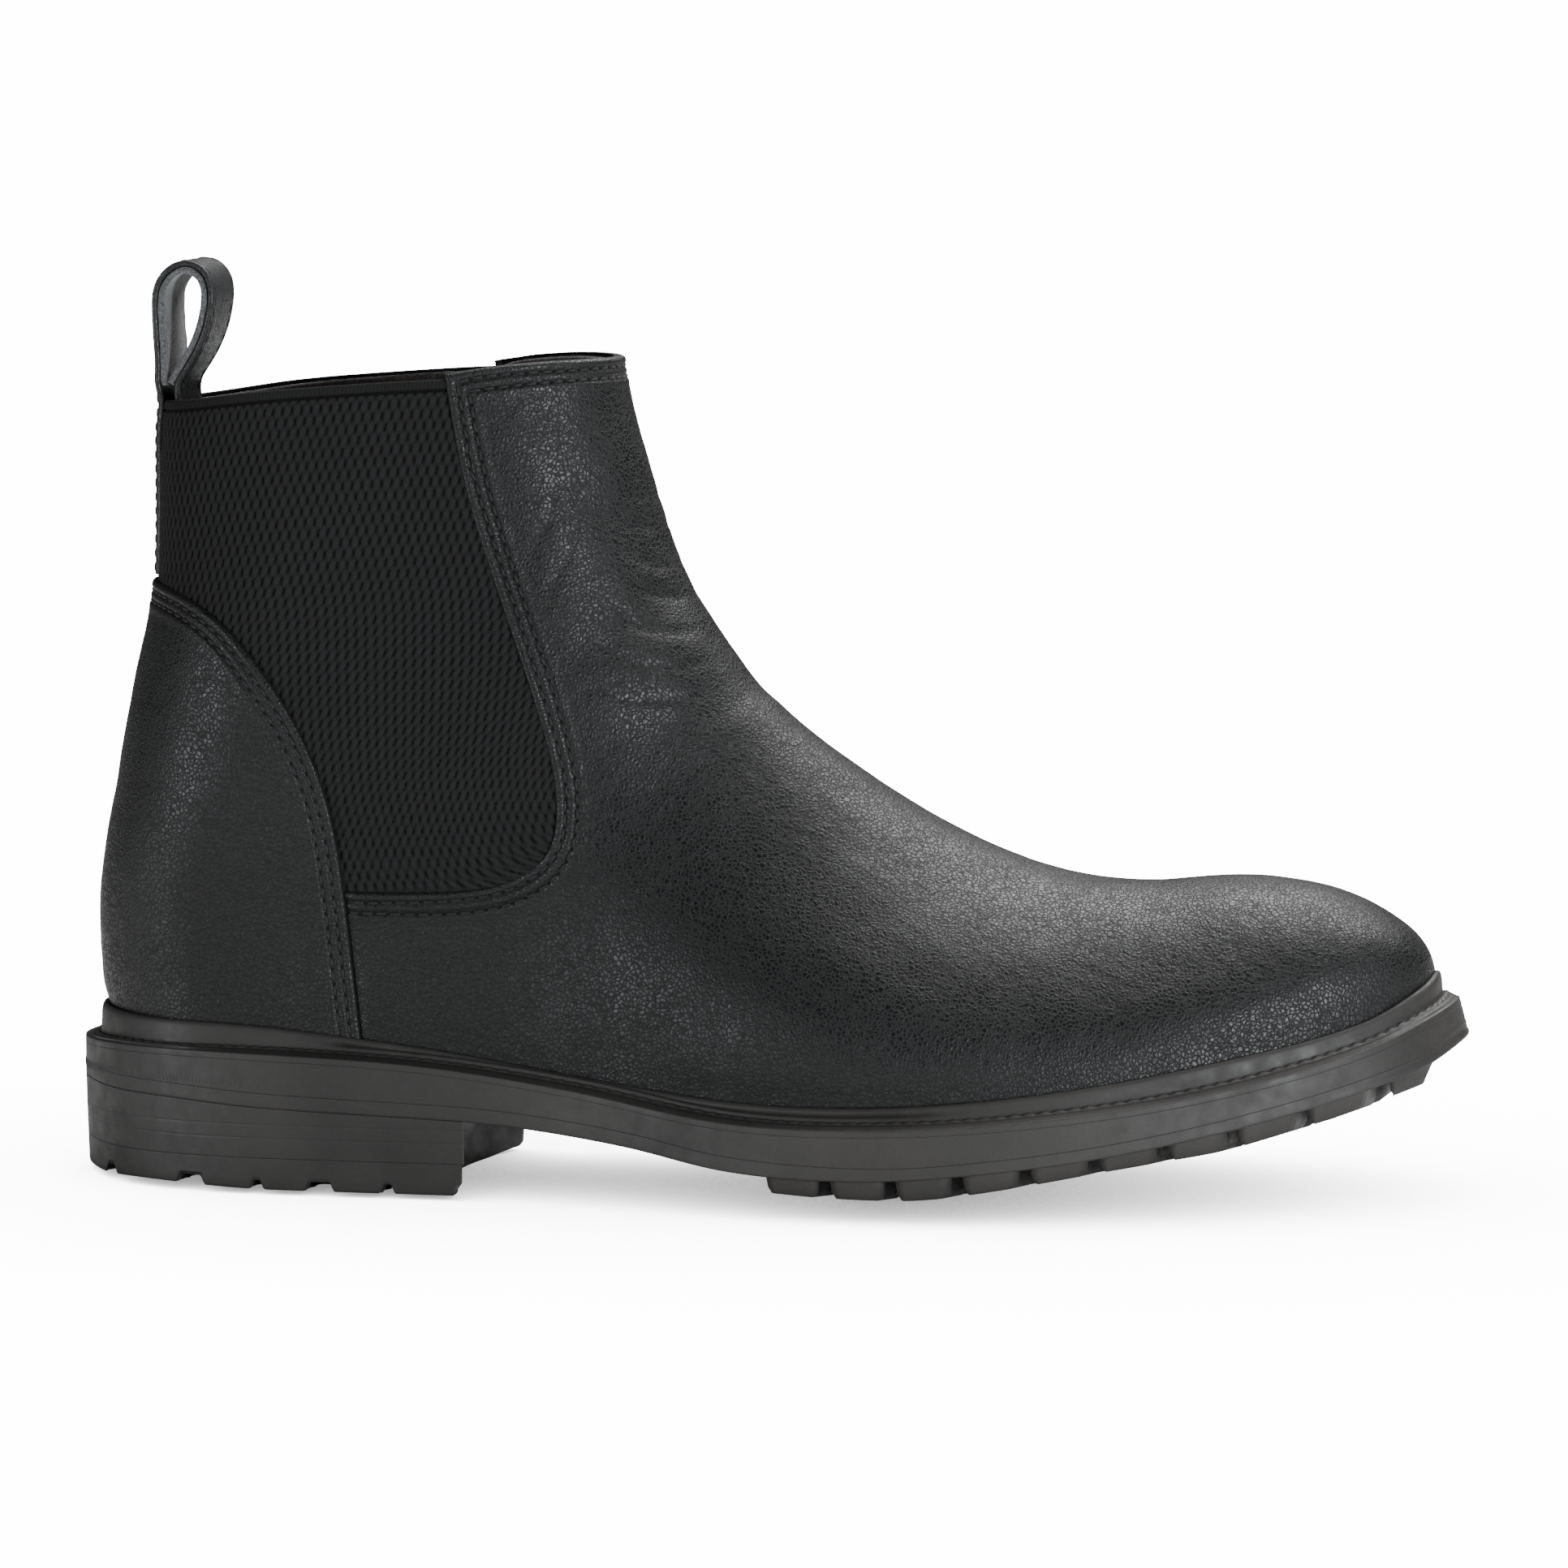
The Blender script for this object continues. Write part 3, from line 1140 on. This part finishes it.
def texture(tree, kind, scale, detail=2.0):
    """A texture node on the piece's own coordinates."""
    coordinates = tree.nodes.get("coordinates") or tree.nodes.new("ShaderNodeTexCoord")
    coordinates.name = "coordinates"
    node = tree.nodes.new(kind)
    node.inputs["Scale"].default_value = scale
    if "Detail" in node.inputs:
        node.inputs["Detail"].default_value = detail
    tree.links.new(coordinates.outputs["Object"], node.inputs["Vector"])
    return node


def noise(tree, scale, detail):
    return texture(tree, "ShaderNodeTexNoise", scale, detail).outputs["Fac"]


def cell_distance(tree, scale):
    return texture(tree, "ShaderNodeTexVoronoi", scale).outputs["Distance"]


def share_of(tree, name):
    """A number that the mesh carries on its points, 0 where it carries none."""
    node = tree.nodes.new("ShaderNodeAttribute")
    node.attribute_name = name
    return node.outputs["Fac"]


def feed(tree, sockets, values):
    """Links a node's output to each socket, or sets the socket to a number."""
    for socket, value in zip(sockets, values):
        if isinstance(value, float):
            socket.default_value = value
        else:
            tree.links.new(value, socket)


def dress(material, inputs):
    """Gives the material's shader its inputs, by name."""
    tree = material.node_tree
    shader = tree.nodes["Principled BSDF"]
    feed(tree, [shader.inputs[name] for name in inputs], inputs.values())
    return material


def ramp(tree, source, stops):
    node = tree.nodes.new("ShaderNodeValToRGB")
    elements = node.color_ramp.elements
    while len(elements) < len(stops):
        elements.new(0.5)
    for element, (position, colour) in zip(elements, stops):
        element.position = position
        value = colour if isinstance(colour, tuple) else (colour,) * 3
        element.color = (*value, 1)
    tree.links.new(source, node.inputs["Fac"])
    return node.outputs["Color"]


def bumps(tree, *layers):
    """Bumps one over another, each a height, its depth in millimetres and its strength."""
    normal = None
    for height, distance, strength in layers:
        node = tree.nodes.new("ShaderNodeBump")
        node.inputs["Distance"].default_value = distance * MM
        node.inputs["Strength"].default_value = strength
        tree.links.new(height, node.inputs["Height"])
        if normal is not None:
            tree.links.new(normal, node.inputs["Normal"])
        normal = node.outputs["Normal"]
    return normal


def warped(tree, scale, reach):
    """Object coordinates shaken by noise, so that cells lose their straight sides."""
    shake = texture(tree, "ShaderNodeTexNoise", scale).outputs["Color"]
    node = tree.nodes.new("ShaderNodeVectorMath")
    node.operation = "MULTIPLY_ADD"
    node.inputs[1].default_value = (reach * MM,) * 3
    tree.links.new(shake, node.inputs[0])
    tree.links.new(tree.nodes["coordinates"].outputs["Object"], node.inputs[2])
    return node.outputs["Vector"]


def crackle(tree, size, warp, crease):
    """Fine creases between irregular cells: 0 in a crease and 1 on a cell."""
    cells = texture(tree, "ShaderNodeTexVoronoi", 1000 / size)
    cells.feature = "DISTANCE_TO_EDGE"
    tree.links.new(warped(tree, 900 / size, warp * size), cells.inputs["Vector"])
    return ramp(tree, cells.outputs["Distance"], [(0.0, 0.0), (crease * 0.5, 0.7), (crease, 1.0)])


def mixed(tree, kind, first, second):
    """Two values, or a value and a number, put together by a kind of sum."""
    node = tree.nodes.new("ShaderNodeMath")
    node.operation = kind
    feed(tree, node.inputs, (first, second))
    return node.outputs["Value"]


def blend_colour(tree, share, low, high):
    """From a plain colour to a node's colour by a share."""
    node = tree.nodes.new("ShaderNodeMix")
    node.data_type = "RGBA"
    node.inputs[6].default_value = (*low, 1)
    tree.links.new(share, node.inputs["Factor"])
    tree.links.new(high, node.inputs[7])
    return node.outputs[2]


def leather_material(name, low, high, rough, grain_size, grain):
    """Fine pebbled leather: small cells, a wider net of wrinkles and dull grooves."""
    material, tree = nodes_of(name)
    base = ramp(tree, noise(tree, 45, 4), [(0.3, low), (0.7, high)])
    cells = crackle(tree, grain_size, 0.9, 0.18)
    net = crackle(tree, 3.1 * grain_size, 1.2, 0.09)
    where = ramp(tree, noise(tree, 95, 3), [(0.42, 0.0), (0.6, 0.45)])
    net = mixed(tree, "MAXIMUM", net, mixed(tree, "ADD", where, 0.55))
    plain = mixed(tree, "SUBTRACT", 1.0, share_of(tree, "groove"))
    lit = mixed(tree, "MULTIPLY", mixed(tree, "MULTIPLY", cells, net), plain)
    return dress(material, {
        "Base Color": blend_colour(tree, lit, CREASE_COLOUR, base),
        "Roughness": ramp(tree, lit, [(0.0, rough + 0.4), (0.8, rough)]),
        "Specular IOR Level": 0.5,
        "Normal": bumps(tree, (noise(tree, 300, 3), 0.30, 0.2 * grain), (net, 0.12, 0.8 * grain),
                        (cells, 0.075, 1.0 * grain), (noise(tree, 2600, 3), 0.03, 0.5 * grain)),
    })


def elastic_material(name, slot, crown, rough):
    """Knitted elastic: dark slots between soft ovals, by the weave's own height."""
    material, tree = nodes_of(name)
    return dress(material, {
        "Base Color": ramp(tree, share_of(tree, "relief"), [(0.0, slot), (0.35, slot), (1.0, crown)]),
        "Normal": bumps(tree, (cell_distance(tree, 2600), 0.10, 0.7), (noise(tree, 4200, 3), 0.08, 0.7)),
        "Roughness": rough,
        "Specular IOR Level": 0.25,
    })


def textile_material(name, low, high, rough, thread, depth, sheen=0.3):
    """Fine knitted cloth: threads crossing at a small pitch, with a little fuzz."""
    material, tree = nodes_of(name)
    return dress(material, {
        "Base Color": ramp(tree, noise(tree, 900 / thread, 3), [(0.35, low), (0.65, high)]),
        "Normal": bumps(tree, (cell_distance(tree, 1000 / thread), depth, 0.8),
                        (noise(tree, 3500 / thread, 2), depth * 0.5, 0.6)),
        "Roughness": rough,
        "Sheen Weight": sheen,
        "Sheen Roughness": 0.5,
    })


def rubber_material(name, low, high, rough, scratch):
    """Matte moulded rubber with handling marks and a dusty cast."""
    material, tree = nodes_of(name)
    marks = noise(tree, 260, 6)
    return dress(material, {
        "Base Color": ramp(tree, noise(tree, 38, 6), [(0.3, low), (0.72, high)]),
        "Roughness": ramp(tree, marks, [(0.3, rough - 0.08), (0.7, rough + 0.1)]),
        "Normal": bumps(tree, (marks, 0.12, scratch), (noise(tree, 1500, 4), 0.05, 0.5)),
    })


def grain_material(name, low, high, rough, size, depth, metallic=0.0):
    """Plain stuff with a grain of its own: cork, board, foam or brushed metal."""
    material, tree = nodes_of(name)
    cells = cell_distance(tree, 1000 / size)
    return dress(material, {
        "Base Color": ramp(tree, cells, [(0.1, low), (0.6, high)]),
        "Normal": bumps(tree, (cells, depth, 0.7)),
        "Roughness": rough,
        "Metallic": metallic,
    })


CREASE_COLOUR = (0.0010, 0.0010, 0.0011)
LEATHER = leather_material(
    "black_leather", (0.0038, 0.0040, 0.0044), (0.0066, 0.0069, 0.0075), 0.33, 0.95, 1.0)
STRAP_LEATHER = leather_material(
    "strap_leather", (0.030, 0.0315, 0.0335), (0.045, 0.0465, 0.049), 0.33, 0.7, 0.3)
SUEDE = textile_material("loop_suede", (0.05, 0.052, 0.054), (0.16, 0.165, 0.17), 0.85, 0.5, 0.15, 0.5)
ELASTIC = elastic_material("gore_elastic", (0.001, 0.001, 0.0011), (0.019, 0.019, 0.0195), 0.9)
HOLE = grain_material("needle_hole", (0.0, 0.0, 0.0), (0.001, 0.001, 0.001), 1.0, 0.5, 0.0)
THREAD = textile_material("thread", (0.004, 0.004, 0.0045), (0.011, 0.0112, 0.012), 0.6, 0.25, 0.03, 0.05)
LINING = textile_material("lining", (0.010, 0.009, 0.008), (0.045, 0.036, 0.030), 0.9, 0.8, 0.12, 0.4)
RUBBER = rubber_material("sole_rubber", (0.028, 0.026, 0.0245), (0.044, 0.041, 0.0385), 0.55, 0.35)
CORK = grain_material("cork", (0.30, 0.17, 0.08), (0.55, 0.36, 0.20), 0.9, 2.4, 0.4)
BOARD = grain_material("insole_board", (0.32, 0.23, 0.14), (0.45, 0.35, 0.23), 0.9, 0.6, 0.1)
FOAM = grain_material("footbed_foam", (0.02, 0.02, 0.022), (0.05, 0.05, 0.055), 0.95, 0.5, 0.15)
STIFFENER = grain_material("stiffener", (0.62, 0.58, 0.5), (0.72, 0.69, 0.62), 0.7, 1.2, 0.05)
STEEL = grain_material("steel", (0.45, 0.45, 0.47), (0.62, 0.62, 0.64), 0.32, 0.35, 0.02, 1.0)


# ---- the boot --------------------------------------------------------------------------------
INNER_STUFF = {
    "cork_filler": CORK, "shank": STEEL, "heel_nails": STEEL, "insole_board": BOARD,
    "footbed_foam": FOAM, "footbed_cover": LINING, "toe_puff": STIFFENER, "heel_counter": STIFFENER,
}


def dress_nodes():
    """Inner CAD parts keep their shape and get their stuff."""
    for node, material in INNER_STUFF.items():
        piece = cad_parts[node]
        piece.data.materials.clear()
        piece.data.materials.append(material)


def replace(piece, slot, *nodes):
    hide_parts(*nodes)
    return piece


def surface_tree(piece):
    points = [tuple(v.co / MM) for v in piece.data.vertices]
    return BVHTree.FromPolygons(points, [list(p.vertices) for p in piece.data.polygons])


def stitch_piece(name, paths, tree, node):
    """Thread along some rows, and the needle holes between its stitches."""
    runs = [along_path(path, tree) for path in paths]
    holes = make_piece(name + "_holes", *joined(hole_mesh(*run) for run in runs), HOLE)
    thread = make_piece(name, *joined(stitch_mesh(*run) for run in runs), THREAD)
    replace(thread, "thread", node)


def build_upper():
    points, faces, groove = vamp()
    front = make_piece("vamp_leather", points, faces, LEATHER, groove=groove)
    replace(front, "upper_leather", "vamp")
    quarters = []
    for side, name in ((1, "lateral"), (-1, "medial")):
        points, faces, groove = heel_quarter(side)
        quarter = make_piece("quarter_leather_" + name, points, faces, LEATHER, groove=groove)
        quarters.append(replace(quarter, "upper_leather", "heel_quarter_" + name))
        points, faces, relief = gore(side)
        elastic = make_piece("gore_weave_" + name, points, faces, ELASTIC, relief=relief)
        replace(elastic, "gore_elastic", "gore_" + name)
    inner = make_piece("lining_cloth", *lining(), LINING)
    replace(inner, "lining", "vamp_lining", "quarter_lining")
    return front, quarters


def build_stitches(front, quarters):
    front_tree = surface_tree(front)
    for side, name, quarter in ((1, "lateral", quarters[0]), (-1, "medial", quarters[1])):
        paths = [row_path(GORE_FRONT, side, row, lambda p, r=row: (
            (p[:, 2] < vamp_top_z(p[:, 0]) - r) & (p[:, 0] > -87.5))) for row in STITCH_ROWS]
        stitch_piece("gore_seam_thread_" + name, paths, front_tree, "gore_stitching_" + name)
        paths = [row_path(QUARTER_EDGE, side, -row, lambda p: (
            (p[:, 2] > feather_z(p[:, 0]) - 1) & (np.abs(p[:, 1]) > 1.0))) for row in STITCH_ROWS]
        stitch_piece("quarter_seam_thread_" + name, paths, surface_tree(quarter), "quarter_stitching_" + name)
    phi = np.concatenate([np.linspace(0.6, 0, 300), np.linspace(0, -0.6, 300)[1:]])
    paths = []
    for row in STITCH_ROWS:
        points = upper_point(top_station(phi, lambda x, r=row: vamp_top_z(x) - r), phi)
        paths.append(points[outside_window(points) > row])
    stitch_piece("collar_thread", paths, front_tree, "collar_stitching")


def build_sole():
    replace(swept("welt_rand", welt_rows(), RUBBER), "sole_rubber", "welt", "welt_stitching")
    replace(swept("midsole_wall", sidewall_rows(), RUBBER), "sole_rubber", "midsole")
    replace(outsole(RUBBER), "sole_rubber", "outsole")
    sole_ribs(RUBBER)
    lugs(RUBBER)
    block = heel_stack("heel_stack", heel_block_rows(), RUBBER, False)
    replace(block, "sole_rubber", "heel_block")
    lift = heel_stack("heel_lift", top_lift_rows(), RUBBER, True)
    replace(lift, "sole_rubber", "heel_top_lift")


def build_strap():
    outer = strap("pull_strap", STRAP_PATH, STRAP_PLY, 0.16, 0.02, STRAP_LEATHER)
    replace(outer, "strap_leather", "back_strap", "strap_inner_tail", "pull_loop_outer")
    inner = strap("pull_strap_lining", INNER_PATH, 1.3, 0.0, 0.09, SUEDE)
    replace(inner, "strap_leather", "pull_loop_inner")
    flat = curve_points(STRAP_PATH, STRAP_STEP)
    face = flat + left_of(flat) * STRAP_PLY / 2
    tree = surface_tree(outer)
    rows = []
    for y in (-STRAP_HALF + STRAP_SEAM, STRAP_HALF - STRAP_SEAM):
        x = face[:, 0] + hug(face[:, 0], y, face[:, 1])
        path = np.column_stack([x, np.full(len(face), y), face[:, 1]])
        rows.append(stitch_mesh(*along_path(path, tree)))
    threads = make_piece("pull_strap_thread", *joined(rows), THREAD, None)
    blend_strap(threads)
    replace(threads, "thread", "pull_loop_stitching")


# ---- studio ----------------------------------------------------------------------------------
WHITE = 15.0
CAMERA_PLACE, CAMERA_TARGET = (0.28013, -1.56556, 0.26820), (0.00408, 0.0, 0.08707)
CAMERA_LENS, CAMERA_SENSOR = 170.15, 36.0
FLOOR_HALF = 6.0


def add_object(name, data):
    item = bpy.data.objects.new(name, data)
    bpy.context.scene.collection.objects.link(item)
    return item


def aim(item, place, target):
    """Puts a light or the camera at a place, looking at a target."""
    item.location = place
    item.rotation_euler = (Vector(target) - Vector(place)).to_track_quat("-Z", "Y").to_euler()


def area_light(name, place, size, power, colour=(1, 1, 1), target=(0.0, 0.0, 0.09)):
    data = bpy.data.lights.new(name, "AREA")
    data.shape = "RECTANGLE"
    data.size, data.size_y = size
    data.energy = power
    data.color = colour
    aim(add_object(name, data), place, target)


def add_camera():
    data = bpy.data.cameras.new("camera")
    data.lens, data.sensor_width = CAMERA_LENS, CAMERA_SENSOR
    camera = add_object("camera", data)
    aim(camera, CAMERA_PLACE, CAMERA_TARGET)
    bpy.context.scene.camera = camera


def white_share(tree, source, low):
    """A strength from low to white by a node's output."""
    node = tree.nodes.new("ShaderNodeMapRange")
    node.inputs["To Min"].default_value = low
    node.inputs["To Max"].default_value = WHITE
    tree.links.new(source, node.inputs["Value"])
    return node.outputs["Result"]


def add_floor():
    """Plain floor that shows white to the camera and darkens only where the boot shuts it in."""
    mesh = bpy.data.meshes.new("floor")
    corners = [(x * FLOOR_HALF, y * FLOOR_HALF, 0) for x, y in ((-1, -1), (1, -1), (1, 1), (-1, 1))]
    mesh.from_pydata(corners, [], [(0, 1, 2, 3)])
    material, tree = nodes_of("studio_floor")
    seen = tree.nodes.new("ShaderNodeLightPath")
    open_sky = tree.nodes.new("ShaderNodeAmbientOcclusion")
    open_sky.inputs["Distance"].default_value = 0.12
    dim = tree.nodes.new("ShaderNodeBsdfDiffuse")
    dim.inputs["Color"].default_value = (0.8, 0.8, 0.8, 1)
    glow = tree.nodes.new("ShaderNodeEmission")
    tree.links.new(white_share(tree, open_sky.outputs["AO"], 0.3), glow.inputs["Strength"])
    mix = tree.nodes.new("ShaderNodeMixShader")
    tree.links.new(seen.outputs["Is Camera Ray"], mix.inputs["Fac"])
    tree.links.new(dim.outputs["BSDF"], mix.inputs[1])
    tree.links.new(glow.outputs["Emission"], mix.inputs[2])
    tree.links.new(mix.outputs["Shader"], tree.nodes["Material Output"].inputs["Surface"])
    mesh.materials.append(material)
    add_object("floor", mesh)


def add_world():
    """White behind the boot for the camera, and a faint even light for everything else."""
    world = bpy.data.worlds.new("studio")
    bpy.context.scene.world = world
    world.use_nodes = True
    tree = world.node_tree
    background = tree.nodes["Background"]
    background.inputs["Color"].default_value = (1, 1, 1, 1)
    path = tree.nodes.new("ShaderNodeLightPath")
    strength = white_share(tree, path.outputs["Is Camera Ray"], 0.06)
    tree.links.new(strength, background.inputs["Strength"])


def studio():
    add_camera()
    add_floor()
    add_world()
    area_light("top_soft", (0.30, 0.60, 1.25), (1.2, 1.0), 32)
    area_light("right_soft", (1.15, -1.05, 0.22), (0.30, 0.5), 20, (0.94, 0.98, 1.0), (-0.03, 0.0, 0.13))
    area_light("left_soft", (-1.20, -1.05, 0.25), (0.35, 0.6), 10, (0.95, 0.98, 1.0), (-0.08, 0.0, 0.08))


dress_nodes()
front_leather, quarter_leathers = build_upper()
build_stitches(front_leather, quarter_leathers)
build_sole()
build_strap()
studio()
